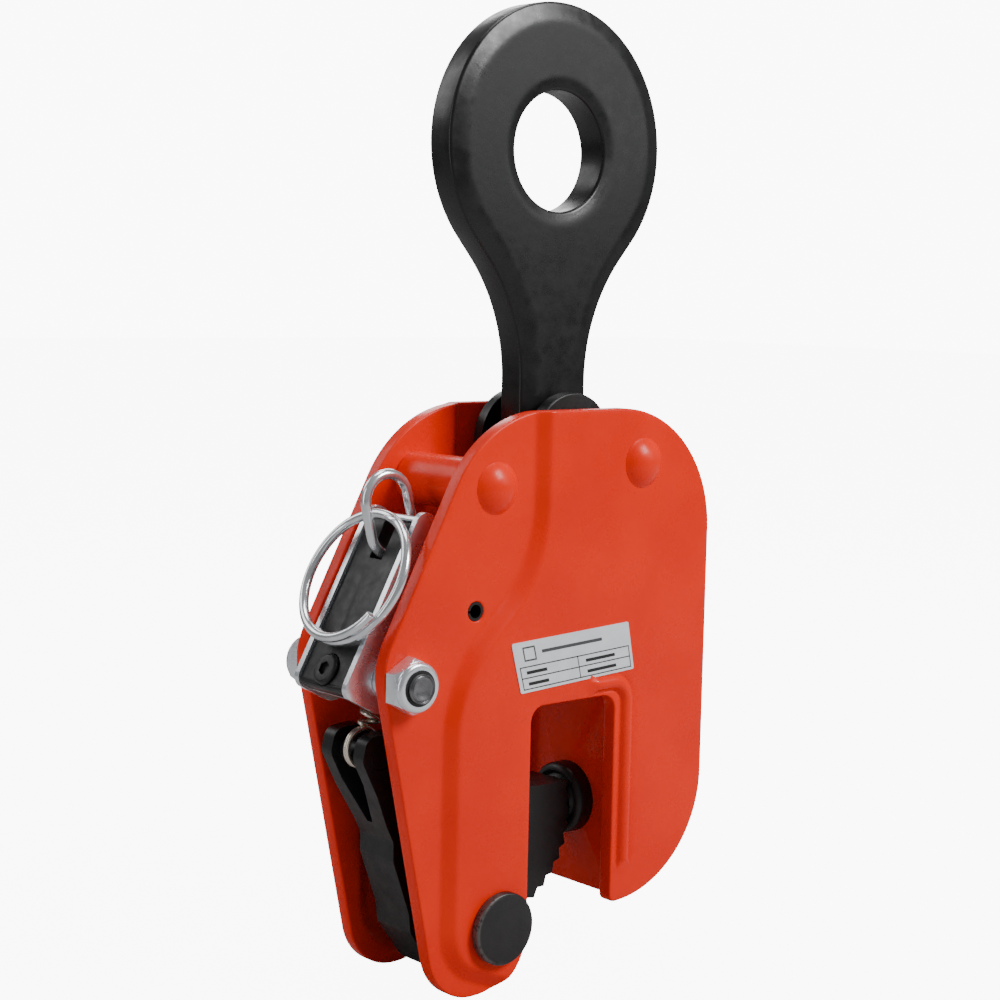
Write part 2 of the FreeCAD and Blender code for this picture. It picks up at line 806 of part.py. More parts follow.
# ---- pull ring and chain link -------------------------------------------------------
ring_centre_u = 59.5
ring_r = 49.0
ring_wire_r = 3.6
ring_pitch = 7.4
ring_turns = 1.22
ring_start_deg = 158.0
ring_low_n = lever_front + gap + ring_wire_r
link_wire_r = 3.9
chain_centre = V(-146.5, 0, -267.0)
chain_half_wide = 19.0
chain_half_high = 30.0
chain_lean_deg = 14.0


def split_ring():
    """Round wire with overlapping ends, swept along a helix about the lever's outward normal."""
    path = Part.makeHelix(ring_pitch, ring_pitch * ring_turns, ring_r)
    edge = path.Edges[0]
    start = edge.valueAt(edge.FirstParameter)
    section = Part.Wire(Part.makeCircle(ring_wire_r, start, edge.tangentAt(edge.FirstParameter)))
    body = Part.Wire(path.Edges).makePipeShell([section], True, True)
    turned = body.copy()
    turned.rotate(V(0, 0, 0), V(0, 0, 1), ring_start_deg)
    rotation = FreeCAD.Rotation(lever_u, lever_n.cross(lever_u), lever_n, "ZXY")
    base = on_lever(ring_centre_u, ring_low_n)
    turned.Placement = FreeCAD.Placement(base, rotation).multiply(turned.Placement)
    return turned


def chain_link():
    corners = []
    bend = chain_half_wide - 0.05
    for sx, sz in ((-1, -1), (-1, 1), (1, 1), (1, -1)):
        corners.append((chain_centre + V(sx * chain_half_wide, 0, sz * chain_half_high), bend))
    loop = tube_along(corners, link_wire_r, closed=True)
    loop.rotate(chain_centre, V(0, -1, 0), chain_lean_deg)
    return loop


# ---- rating plate -------------------------------------------------------------------
label_corners = ((-80.0, -359.5), (38.5, -354.0), (46.0, -391.3), (-69.5, -397.5))
label_thick = 0.6


def rating_plate():
    corners = [(x, z, 1.5) for x, z in label_corners]
    return prism(corners, -outer_wide - 0.02 - label_thick, -outer_wide - 0.02)


# ---- write every piece --------------------------------------------------------------
front = front_side_plate()
nut = lever_nut_front()
nylon = nylon_ring_front()
washer = lever_washer_front()
bush = cam_bush_front()
link = link_plate_front()
eye_bush = eye_bush_front()
right_tube = right_spacer_tube()

nodes = {
    "lifting_eye": lifting_eye(),
    "eye_cross_pin": eye_cross_pin(),
    "eye_pin_circlips": eye_circlips(),
    "eye_bush_front": eye_bush,
    "eye_bush_rear": mirrored(eye_bush),
    "link_plate_front": link,
    "link_plate_rear": mirrored(link),
    "link_cross_pin": link_cross_pin(),
    "front_side_plate": front,
    "rear_side_plate": mirrored(front),
    "left_spacer_tube": left_spacer_tube(),
    "left_domed_stud": domed_stud(left_stud, outer_narrow),
    "right_domed_stud": domed_stud(right_stud, outer_wide),
    "right_collar_front": right_tube,
    "right_collar_rear": mirrored(right_tube),
    "roll_pin": roll_pin(),
    "jaw_block": jaw_block(),
    "fixed_jaw_pad": fixed_jaw_pad(),
    "pad_washer": pad_washer(),
    "pad_screw": pad_screw(),
    "cam": cam(),
    "cam_pin": cam_pin(),
    "cam_pin_cap": cam_pin_cap(),
    "cam_bush_front": bush,
    "cam_bush_rear": mirrored(bush),
    "fork_cross_pin": fork_cross_pin(),
    "lever_channel": lever_channel(),
    "lever_core": lever_core(),
    "lever_screw": lever_screw(),
    "lever_bolt": lever_bolt(),
    "lever_nut_front": nut,
    "lever_nut_rear": mirrored(nut),
    "nylon_ring_front": nylon,
    "nylon_ring_rear": mirrored(nylon),
    "lever_washer_front": washer,
    "lever_washer_rear": mirrored(washer),
    "spring_anchor_pin": spring_anchor_pin(),
    "lock_spring": lock_spring(),
    "split_ring": split_ring(),
    "chain_link": chain_link(),
    "rating_plate": rating_plate(),
}

os.makedirs("parts", exist_ok=True)
for name, shape in nodes.items():
    shape.exportStep("parts/" + name + ".step")
    print(name, shape.isValid(), len(shape.Solids), round(shape.Volume / 1000, 1), "cm3")
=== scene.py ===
import bpy
import bmesh
import json
import math
import numpy as np
from mathutils import Matrix, Vector
from mathutils.geometry import delaunay_2d_cdt

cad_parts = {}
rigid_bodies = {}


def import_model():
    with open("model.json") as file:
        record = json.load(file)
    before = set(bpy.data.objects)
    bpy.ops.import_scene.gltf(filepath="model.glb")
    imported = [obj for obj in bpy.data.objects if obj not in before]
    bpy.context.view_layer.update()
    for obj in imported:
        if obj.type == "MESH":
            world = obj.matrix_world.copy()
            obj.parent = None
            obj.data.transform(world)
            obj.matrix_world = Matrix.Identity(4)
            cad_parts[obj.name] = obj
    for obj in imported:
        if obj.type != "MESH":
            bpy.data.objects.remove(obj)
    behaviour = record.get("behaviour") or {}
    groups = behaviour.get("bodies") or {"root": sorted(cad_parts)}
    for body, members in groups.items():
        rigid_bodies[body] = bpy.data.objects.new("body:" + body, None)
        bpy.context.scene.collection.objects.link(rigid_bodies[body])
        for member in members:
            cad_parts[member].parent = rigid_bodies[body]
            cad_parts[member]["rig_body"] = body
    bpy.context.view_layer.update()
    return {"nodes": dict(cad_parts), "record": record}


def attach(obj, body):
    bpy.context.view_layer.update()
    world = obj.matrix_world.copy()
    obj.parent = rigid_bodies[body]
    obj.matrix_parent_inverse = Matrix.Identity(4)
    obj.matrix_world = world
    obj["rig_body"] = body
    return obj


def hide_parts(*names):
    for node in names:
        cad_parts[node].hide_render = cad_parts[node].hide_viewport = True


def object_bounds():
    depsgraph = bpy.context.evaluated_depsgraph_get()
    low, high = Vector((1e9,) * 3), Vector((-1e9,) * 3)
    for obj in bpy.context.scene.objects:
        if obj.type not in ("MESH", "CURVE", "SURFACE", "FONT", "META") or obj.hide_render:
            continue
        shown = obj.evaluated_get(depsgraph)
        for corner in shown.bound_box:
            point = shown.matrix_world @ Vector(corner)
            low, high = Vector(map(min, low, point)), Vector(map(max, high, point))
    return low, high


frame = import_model()
nodes = frame["nodes"]
MM = 0.001

# ---- sizes shared with the CAD (millimetres) -------------------------------------------
GAP_HALF = 41.0
PLATE_THICK = 12.0
JOGGLE_STEP = 7.0
JOGGLE_WIDTH = 10.5
OUTER_NARROW = GAP_HALF + PLATE_THICK
OUTER_WIDE = OUTER_NARROW + JOGGLE_STEP
PLATE_CORNERS = [
    (-100.0, -191.0, 97.0), (125.0, -191.0, 97.0), (125.0, -573.0, 92.0), (27.0, -573.0, 5.5),
    (27.0, -409.0, 12.0), (-58.0, -409.0, 12.0), (-58.0, -620.5, 42.5), (-138.4, -620.5, 42.5),
    (-192.6, -367.5, 50.0),
]
CAM_PIVOT = (-85.0, -570.0)
LEVER_AXIS = (-171.0, -380.0)
LEVER_LEAN = math.radians(61.6)
LEFT_STUD = (-90.0, -246.0)
RIGHT_STUD = (51.0, -233.0)
STOP_PIN = (-108.0, -334.0)
FORK_PIN = (-170.0, -438.0)
EYE_PIN_Z = -219.0
LU = Vector((math.cos(LEVER_LEAN), 0, math.sin(LEVER_LEAN)))
LN = Vector((-math.sin(LEVER_LEAN), 0, math.cos(LEVER_LEAN)))


def on_lever(u, n, y=0.0):
    return Vector((LEVER_AXIS[0], y, LEVER_AXIS[1])) + LU * u + LN * n


# ---- node material helpers -------------------------------------------------------------
class Mat:
    """A small wrapper that adds nodes and links by name."""

    def __init__(self, name):
        self.mat = bpy.data.materials.new(name)
        self.mat.use_nodes = True
        self.tree = self.mat.node_tree
        self.bsdf = self.tree.nodes["Principled BSDF"]
        self.coord = self.tree.nodes.new("ShaderNodeTexCoord").outputs["Object"]

    def node(self, kind, **values):
        n = self.tree.nodes.new(kind)
        for key, value in values.items():
            setattr(n, key, value)
        return n

    def link(self, a, b):
        self.tree.links.new(a, b)

    def noise(self, scale, detail=4.0, rough=0.55, stretch=None, distortion=0.0):
        n = self.node("ShaderNodeTexNoise")
        n.inputs["Scale"].default_value = scale
        n.inputs["Detail"].default_value = detail
        n.inputs["Roughness"].default_value = rough
        n.inputs["Distortion"].default_value = distortion
        source = self.coord
        if stretch:
            m = self.node("ShaderNodeMapping")
            m.inputs["Scale"].default_value = stretch
            self.link(self.coord, m.inputs["Vector"])
            source = m.outputs["Vector"]
        self.link(source, n.inputs["Vector"])
        return n.outputs["Fac"]

    def voronoi(self, scale, feature="F1"):
        n = self.node("ShaderNodeTexVoronoi", feature=feature)
        n.inputs["Scale"].default_value = scale
        self.link(self.coord, n.inputs["Vector"])
        return n.outputs["Distance"]

    def ramp(self, source, low, high, out_low=0.0, out_high=1.0):
        n = self.node("ShaderNodeMapRange", interpolation_type="SMOOTHSTEP")
        for key, value in (("From Min", low), ("From Max", high), ("To Min", out_low), ("To Max", out_high)):
            n.inputs[key].default_value = value
        self.link(source, n.inputs["Value"])
        return n.outputs["Result"]

    def math(self, operation, a, b=None):
        n = self.node("ShaderNodeMath", operation=operation)
        for slot, value in zip(n.inputs, (a, b)):
            if value is None:
                continue
            if isinstance(value, (int, float)):
                slot.default_value = value
            else:
                self.link(value, slot)
        return n.outputs["Value"]

    def mix(self, factor, a, b):
        n = self.node("ShaderNodeMix", data_type="RGBA")
        for key, value in ((0, factor), (6, a), (7, b)):
            slot = n.inputs[key]
            if isinstance(value, (tuple, list)):
                slot.default_value = (*value[:3], 1.0)
            elif isinstance(value, (int, float)):
                slot.default_value = value
            else:
                self.link(value, slot)
        return n.outputs[2]

    def edges(self, radius_mm, low=0.02, high=0.25):
        """1 on sharp edges, 0 on flat faces, from the difference between the real and a rounded normal."""
        bevel = self.node("ShaderNodeBevel", samples=4)
        bevel.inputs["Radius"].default_value = radius_mm * MM
        geometry = self.node("ShaderNodeNewGeometry")
        dot = self.node("ShaderNodeVectorMath", operation="DOT_PRODUCT")
        self.link(bevel.outputs["Normal"], dot.inputs[0])
        self.link(geometry.outputs["Normal"], dot.inputs[1])
        away = self.math("SUBTRACT", 1.0, dot.outputs["Value"])
        return self.ramp(away, low, high)

    def bump(self, parts, normal=None):
        """Stacks bumps: parts are (height socket, strength, distance in mm)."""
        for height, strength, distance in parts:
            n = self.node("ShaderNodeBump")
            n.inputs["Strength"].default_value = strength
            n.inputs["Distance"].default_value = distance * MM
            self.link(height, n.inputs["Height"])
            if normal is not None:
                self.link(normal, n.inputs["Normal"])
            normal = n.outputs["Normal"]
        self.link(normal, self.bsdf.inputs["Normal"])

    def set(self, **values):
        for key, value in values.items():
            slot = self.bsdf.inputs[key.replace("_", " ")]
            if isinstance(value, (tuple, list)):
                slot.default_value = (*value[:3], 1.0)
            elif isinstance(value, (int, float)):
                slot.default_value = value
            else:
                self.link(value, slot)
        return self


def orange_coat():
    m = Mat("orange_powder_coat")
    base = m.mix(m.ramp(m.noise(14.0, 3.0), 0.3, 0.7), (0.86, 0.018, 0.0001), (0.94, 0.024, 0.0002))
    edge = m.edges(1.0)
    worn = m.math("MULTIPLY", edge, m.ramp(m.noise(260.0, 5.0, 0.7), 0.52, 0.68))
    # Every edge is painted a lighter orange here: a painted edge highlight. The worn mask on the next line
    # darkens some edges as real wear.
    base = m.mix(m.math("MULTIPLY", edge, 0.35), base, (1.0, 0.06, 0.004))
    base = m.mix(m.math("MULTIPLY", worn, 0.3), base, (0.45, 0.03, 0.01))
    rough = m.ramp(m.noise(60.0, 5.0), 0.25, 0.75, 0.24, 0.36)
    m.set(Base_Color=base, Roughness=rough, Specular_IOR_Level=0.2, Coat_Weight=0.06, Coat_Roughness=0.12)
    m.bump([(m.noise(300.0, 2.0, 0.4), 0.16, 0.12), (m.noise(900.0, 2.0), 0.08, 0.02)])
    return m.mat


def black_coat(name, tone, rough_low, rough_high, grain):
    m = Mat(name)
    broad = m.ramp(m.noise(22.0, 4.0), 0.3, 0.7)
    base = m.mix(broad, tone, tuple(v * 1.45 for v in tone))
    edge = m.edges(1.0)
    chips = m.math("MULTIPLY", edge, m.ramp(m.noise(420.0, 6.0, 0.75), 0.55, 0.70))
    # Every edge is painted three times lighter here: a painted edge highlight. The chips on the next line
    # are real wear.
    base = m.mix(m.math("MULTIPLY", edge, 0.3), base, tuple(v * 3.0 for v in tone))
    base = m.mix(m.math("MULTIPLY", chips, 0.35), base, (0.07, 0.067, 0.064))
    rough = m.ramp(m.noise(90.0, 5.0), 0.25, 0.75, rough_low, rough_high)
    m.set(Base_Color=base, Roughness=rough, Specular_IOR_Level=0.4, Coat_Weight=0.05, Coat_Roughness=0.3)
    m.bump([(m.noise(grain, 3.0, 0.5), 0.35, 0.22), (m.noise(grain * 4, 2.0), 0.18, 0.05)])
    return m.mat


def button_black():
    m = Mat("button_black")
    x = m.node("ShaderNodeSeparateXYZ")
    m.link(m.coord, x.inputs["Vector"])
    dx = m.math("SUBTRACT", x.outputs["X"], CAM_PIVOT[0] * MM)
    dz = m.math("SUBTRACT", x.outputs["Z"], CAM_PIVOT[1] * MM)
    radius = m.math("SQRT", m.math("ADD", m.math("MULTIPLY", dx, dx), m.math("MULTIPLY", dz, dz)))
    # The rim's left side only is painted lighter grey and metallic in noisy patches: partly wear, partly a
    # painted highlight on that side.
    rim = m.ramp(radius, 0.0238, 0.0262)
    left = m.ramp(m.math("MULTIPLY", dx, -1.0), -0.004, 0.016)
    rim_wear_and_highlight = m.math("MULTIPLY", m.math("MULTIPLY", rim, left), m.ramp(m.noise(210.0, 6.0, 0.7), 0.36, 0.50))
    speck = m.ramp(m.noise(900.0, 4.0, 0.8), 0.70, 0.76)
    base = m.mix(m.ramp(m.noise(45.0), 0.3, 0.7), (0.006, 0.006, 0.0065), (0.011, 0.011, 0.012))
    base = m.mix(rim_wear_and_highlight, base, (0.13, 0.12, 0.115))
    base = m.mix(m.math("MULTIPLY", speck, 0.5), base, (0.09, 0.09, 0.09))
    m.set(Base_Color=base, Roughness=m.ramp(m.noise(120.0, 5.0), 0.2, 0.8, 0.34, 0.52))
    m.set(Metallic=m.math("MULTIPLY", rim_wear_and_highlight, 0.7), Coat_Weight=0.1, Coat_Roughness=0.3)
    m.bump([(m.noise(420.0, 3.0), 0.3, 0.12), (rim_wear_and_highlight, 0.4, -0.12)])
    return m.mat


def metal(name, tone, tint, rough_low, rough_high, grain, bump=0.05):
    m = Mat(name)
    base = m.mix(m.ramp(m.noise(55.0, 4.0), 0.3, 0.7), tone, tint)
    stains = m.ramp(m.noise(90.0, 3.0, 0.5), 0.58, 0.78)
    base = m.mix(m.math("MULTIPLY", stains, 0.16), base, tuple(v * 0.62 for v in tone))
    streak = m.noise(grain * 0.25, 2.0, 0.4)
    m.set(Base_Color=base, Metallic=0.84, Roughness=m.ramp(streak, 0.25, 0.75, rough_low, rough_high))
    m.bump([(m.noise(70.0, 2.0, 0.4), bump, 0.12), (streak, bump, 0.006)])
    return m.mat


def plastic(name, tone, rough_low, rough_high, grain):
    m = Mat(name)
    base = m.mix(m.ramp(m.noise(70.0), 0.3, 0.7), tone, tuple(v * 1.35 for v in tone))
    scuff = m.ramp(m.noise(260.0, 6.0, 0.75, stretch=(1.0, 1.0, 0.35)), 0.60, 0.74)
    base = m.mix(m.math("MULTIPLY", scuff, 0.3), base, tuple(v * 2.6 for v in tone))
    m.set(Base_Color=base, Roughness=m.ramp(m.noise(150.0, 4.0), 0.25, 0.75, rough_low, rough_high))
    m.bump([(m.noise(grain, 3.0), 0.15, 0.05), (m.voronoi(grain * 0.8), 0.06, 0.03)])
    return m.mat


def label_foil():
    m = Mat("silver_label")
    base = m.mix(m.ramp(m.noise(60.0, 4.0), 0.3, 0.7), (0.80, 0.83, 0.87), (0.90, 0.92, 0.95))
    brush = m.noise(300.0, 3.0, 0.5, stretch=(0.03, 1.0, 1.0))
    m.set(Base_Color=base, Metallic=0.25, Roughness=m.ramp(brush, 0.3, 0.7, 0.32, 0.46))
    m.bump([(brush, 0.06, 0.02)])
    return m.mat


def ink(name, tone):
    m = Mat(name)
    base = m.mix(m.noise(900.0), tone, tuple(min(1.0, v * 1.6 + 0.004) for v in tone))
    m.set(Base_Color=base, Roughness=m.ramp(m.noise(400.0), 0.3, 0.7, 0.42, 0.55))
    m.bump([(m.noise(1500.0), 0.1, 0.01)])
    return m.mat


ORANGE = orange_coat()
BLACK_EYE = black_coat("black_forged_coat", (0.0060, 0.0060, 0.0063), 0.24, 0.38, 150.0)
BLACK_STEEL = black_coat("black_oxide_steel", (0.0055, 0.0056, 0.0060), 0.32, 0.50, 420.0)
BUTTON = button_black()
ZINC = metal("bright_zinc", (0.80, 0.83, 0.88), (0.90, 0.93, 0.97), 0.18, 0.30, 420.0)
ZINC_WIRE = metal("bright_zinc_wire", (0.74, 0.76, 0.79), (0.88, 0.90, 0.93), 0.11, 0.20, 500.0, 0.03)
NICKEL = metal("spring_nickel", (0.66, 0.58, 0.49), (0.80, 0.72, 0.62), 0.15, 0.26, 500.0, 0.04)
DARK_STEEL = metal("dark_thread_steel", (0.16, 0.16, 0.17), (0.24, 0.24, 0.25), 0.25, 0.38, 600.0, 0.05)
POLYMER = plastic("black_polymer", (0.0055, 0.0057, 0.0062), 0.36, 0.52, 500.0)
NYLON = plastic("dark_nylon", (0.012, 0.0125, 0.014), 0.45, 0.6, 700.0)
FOIL = label_foil()
INK = ink("label_ink", (0.008, 0.008, 0.0085))
INK_GREY = ink("label_ink_grey", (0.05, 0.052, 0.056))

SLOT_LOOKS = {
    "orange_powder_coat": ORANGE, "black_oxide_steel": BLACK_STEEL, "bright_zinc": ZINC,
    "spring_nickel": NICKEL, "black_polymer": POLYMER, "dark_nylon": NYLON, "silver_label": FOIL,
}
SLOT_OF = {s["node"]: s["material_slot"] for s in frame["record"]["subparts"]}
LOOKS = {
    "lifting_eye": BLACK_EYE, "cam_pin": BUTTON, "cam_pin_cap": BUTTON,
    "split_ring": ZINC_WIRE, "chain_link": ZINC_WIRE, "lever_bolt": DARK_STEEL,
}


def paint(obj, material):
    obj.data.materials.clear()
    obj.data.materials.append(material)


for node_name, obj in nodes.items():
    look = LOOKS.get(node_name, SLOT_LOOKS[SLOT_OF[node_name]])
    for slot in obj.material_slots:
        slot.material = look
    if not obj.material_slots:
        obj.data.materials.append(look)


# ---- mesh helpers ----------------------------------------------------------------------
BODY_OF = {n: o["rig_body"] for n, o in nodes.items()}


def finish_mesh(name, mesh, look, body, replaced=(), sharp_deg=35.0):
    """Makes an object of a mesh in metres, rides it on its body and hides the CAD nodes it replaces."""
    obj = bpy.data.objects.new(name, mesh)
    bpy.context.scene.collection.objects.link(obj)
    mesh.polygons.foreach_set("use_smooth", [True] * len(mesh.polygons))
    mesh.set_sharp_from_angle(angle=math.radians(sharp_deg))
    paint(obj, look)
    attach(obj, body)
    if replaced:
        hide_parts(*replaced)
    return obj


def mesh_from(name, verts_mm, faces):
    mesh = bpy.data.meshes.new(name)
    mesh.from_pydata([tuple(c * MM for c in v) for v in verts_mm], [], faces)
    bm = bmesh.new()
    bm.from_mesh(mesh)
    bmesh.ops.recalc_face_normals(bm, faces=bm.faces)
    bm.to_mesh(mesh)
    bm.free()
    return mesh


def clean_copy(node):
    """The CAD node's mesh with its seams welded and its flat faces joined."""
    bm = bmesh.new()
    bm.from_mesh(nodes[node].data)
    bmesh.ops.remove_doubles(bm, verts=bm.verts, dist=2e-6)
    flat = math.radians(0.6)
    bmesh.ops.dissolve_limit(bm, angle_limit=flat, verts=bm.verts, edges=bm.edges, delimit={"NORMAL"})
    mesh = bpy.data.meshes.new(node + "_clean")
    bm.to_mesh(mesh)
    bm.free()
    return mesh


def bevelled(node, width_mm, look=None, segments=3, angle=28.0, name=None):
    """A finished copy of a hard-edged CAD node: the same shape with its edges broken."""
    mesh = clean_copy(node)
    obj = finish_mesh(name or node + "_finish", mesh, look or LOOKS.get(node, SLOT_LOOKS[SLOT_OF[node]]),
                      BODY_OF[node], (node,))
    mod = obj.modifiers.new("edge", "BEVEL")
    mod.width = width_mm * MM
    mod.segments = segments
    mod.limit_method = "ANGLE"
    mod.angle_limit = math.radians(angle)
    mod.harden_normals = True
    mod.miter_outer = "MITER_ARC"
    mod.use_clamp_overlap = True
    return obj


def lathe(axis_at, axis_dir, profile, segs=96):
    """Vertices and faces of a turned shape: profile is (along, radius) in millimetres."""
    axis = Vector(axis_dir).normalized()
    side = axis.orthogonal().normalized()
    other = axis.cross(side)
    origin = Vector(axis_at)
    verts, faces = [], []
    for along, radius in profile:
        for k in range(segs):
            a = 2 * math.pi * k / segs
            outward = side * math.cos(a) + other * math.sin(a)
            verts.append(origin + axis * along + outward * max(radius, 0.0))
    for j in range(len(profile) - 1):
        for k in range(segs):
            k2 = (k + 1) % segs
            faces.append((j * segs + k, j * segs + k2, (j + 1) * segs + k2, (j + 1) * segs + k))
    for j in (0, len(profile) - 1):
        if profile[j][1] > 1e-6:
            faces.append(tuple(j * segs + k for k in range(segs)))
    return verts, faces


def turned(name, axis_at, axis_dir, profile, look, body, replaced=(), segs=96):
    """A turned piece with the seams of its profile welded."""
    verts, faces = lathe(axis_at, axis_dir, profile, segs)
    mesh = mesh_from(name, verts, faces)
    bm = bmesh.new()
    bm.from_mesh(mesh)
    bmesh.ops.remove_doubles(bm, verts=bm.verts, dist=1e-7)
    bm.to_mesh(mesh)
    bm.free()
    return finish_mesh(name, mesh, look, body, replaced)


def tube(points, radius, segs=20, closed=False, end_round=0.0):
    """A round wire along a dense path of points in millimetres, without twist."""
    pts = [Vector(p) for p in points]
    count = len(pts)
    tangents = []
    for i in range(count):
        a = pts[(i - 1) % count] if closed or i else pts[i]
        b = pts[(i + 1) % count] if closed or i < count - 1 else pts[i]
        tangents.append((b - a).normalized())
    side = tangents[0].orthogonal().normalized()
    frames = []
    for i in range(count):
        if i:
            turn = tangents[i - 1].rotation_difference(tangents[i])
            side = turn @ side
            side = (side - tangents[i] * side.dot(tangents[i])).normalized()
        frames.append((side.copy(), tangents[i].cross(side)))
    twist = 0.0
    if closed:
        turn = tangents[-1].rotation_difference(tangents[0])
        end = turn @ frames[-1][0]
        twist = math.atan2(end.dot(frames[0][1]), end.dot(frames[0][0]))
    rings = []
    for i in range(count):
        rings.append((pts[i], frames[i], radius, -twist * i / count))
    if not closed and end_round > 0:
        steps = 4
        head, tail = [], []
        for k in range(1, steps + 1):
            a = math.pi / 2 * k / steps
            r = radius - end_round * (1 - math.cos(a))
            d = end_round * math.sin(a)
            head.append((pts[0] - tangents[0] * d, frames[0], r, 0.0))
            tail.append((pts[-1] + tangents[-1] * d, frames[-1], r, 0.0))
        rings = list(reversed(head)) + rings + tail
    verts, faces = [], []
    for centre, (u, v), r, shift in rings:
        for k in range(segs):
            a = 2 * math.pi * k / segs + shift
            verts.append(centre + (u * math.cos(a) + v * math.sin(a)) * r)
    n = len(rings)
    for j in range(n if closed else n - 1):
        j2 = (j + 1) % n
        for k in range(segs):
            k2 = (k + 1) % segs
            faces.append((j * segs + k, j * segs + k2, j2 * segs + k2, j2 * segs + k))
    if not closed:
        faces.append(tuple(range(segs)))
        faces.append(tuple((n - 1) * segs + k for k in range(segs)))
    return verts, faces


def merged(parts):
    verts, faces = [], []
    for more_verts, more_faces in parts:
        base = len(verts)
        verts += list(more_verts)
        faces += [tuple(i + base for i in f) for f in more_faces]
    return verts, faces


def rounded_loop(corners, step):
    """A dense closed outline: corners are (x, z, radius), anticlockwise or not."""
    count = len(corners)
    pts = []
    for i in range(count):
        here = np.array(corners[i][:2])
        r = corners[i][2]
        before = np.array(corners[i - 1][:2]) - here
        after = np.array(corners[(i + 1) % count][:2]) - here
        before = before / np.linalg.norm(before)
        after = after / np.linalg.norm(after)
        half = math.acos(max(-1, min(1, before @ after))) / 2
        if r <= 0:
            pts.append(here)
            continue
        middle = (before + after) / np.linalg.norm(before + after)
        centre = here + middle * r / math.sin(half)
        p0 = here + before * r / math.tan(half) - centre
        p1 = here + after * r / math.tan(half) - centre
        a0 = math.atan2(p0[1], p0[0])
        a1 = math.atan2(p1[1], p1[0])
        sweep = (a1 - a0 + math.pi) % (2 * math.pi) - math.pi
        n = max(4, int(abs(sweep) * r / step))
        for k in range(n + 1):
            a = a0 + sweep * k / n
            pts.append(centre + r * np.array([math.cos(a), math.sin(a)]))
    dense = []
    for i in range(len(pts)):
        a, b = pts[i], pts[(i + 1) % len(pts)]
        length = np.linalg.norm(b - a)
        n = max(1, int(round(length / step)))
        for k in range(n):
            dense.append(a + (b - a) * k / n)
    return np.array(dense)


def circle_loop(at, r, step):
    n = max(24, int(2 * math.pi * r / step))
    a = np.arange(n) * 2 * math.pi / n
    return np.stack([at[0] + r * np.cos(a), at[1] + r * np.sin(a)], 1)


def area(loop):
    x, z = loop[:, 0], loop[:, 1]
    return 0.5 * np.sum(x * np.roll(z, -1) - np.roll(x, -1) * z)


def inward(loop, hole):
    """Unit normals that point into the material."""
    t = np.roll(loop, -1, 0) - np.roll(loop, 1, 0)
    t /= np.linalg.norm(t, axis=1)[:, None]
    normal = np.stack([-t[:, 1], t[:, 0]], 1)
    if (area(loop) < 0) != hole:
        normal = -normal
    return normal


def inside(points, loop):
    """Which points lie inside a closed outline."""
    x, z = points[:, 0], points[:, 1]
    hit = np.zeros(len(points), bool)
    ax, az = loop[:, 0], loop[:, 1]
    bx, bz = np.roll(ax, -1), np.roll(az, -1)
    for i in range(len(loop)):
        if az[i] == bz[i]:
            continue
        crosses = (az[i] > z) != (bz[i] > z)
        at = ax[i] + (z - az[i]) / (bz[i] - az[i]) * (bx[i] - ax[i])
        hit ^= crosses & (x < at)
    return hit


def distance_to(points, path, closed=True):
    """The distance from each point to a polyline, and the signed side of the nearest run."""
    best = np.full(len(points), 1e9)
    side = np.zeros(len(points))
    a = path
    b = np.roll(path, -1, 0)
    runs = len(path) if closed else len(path) - 1
    for i in range(runs):
        d = b[i] - a[i]
        length2 = max(d @ d, 1e-12)
        w = points - a[i]
        t = np.clip((w @ d) / length2, 0, 1)
        gap = w - t[:, None] * d
        dist = np.sqrt((gap ** 2).sum(1))
        cross = d[0] * w[:, 1] - d[1] * w[:, 0]
        nearer = dist < best
        best[nearer] = dist[nearer]
        side[nearer] = np.sign(cross[nearer])
    return best, side


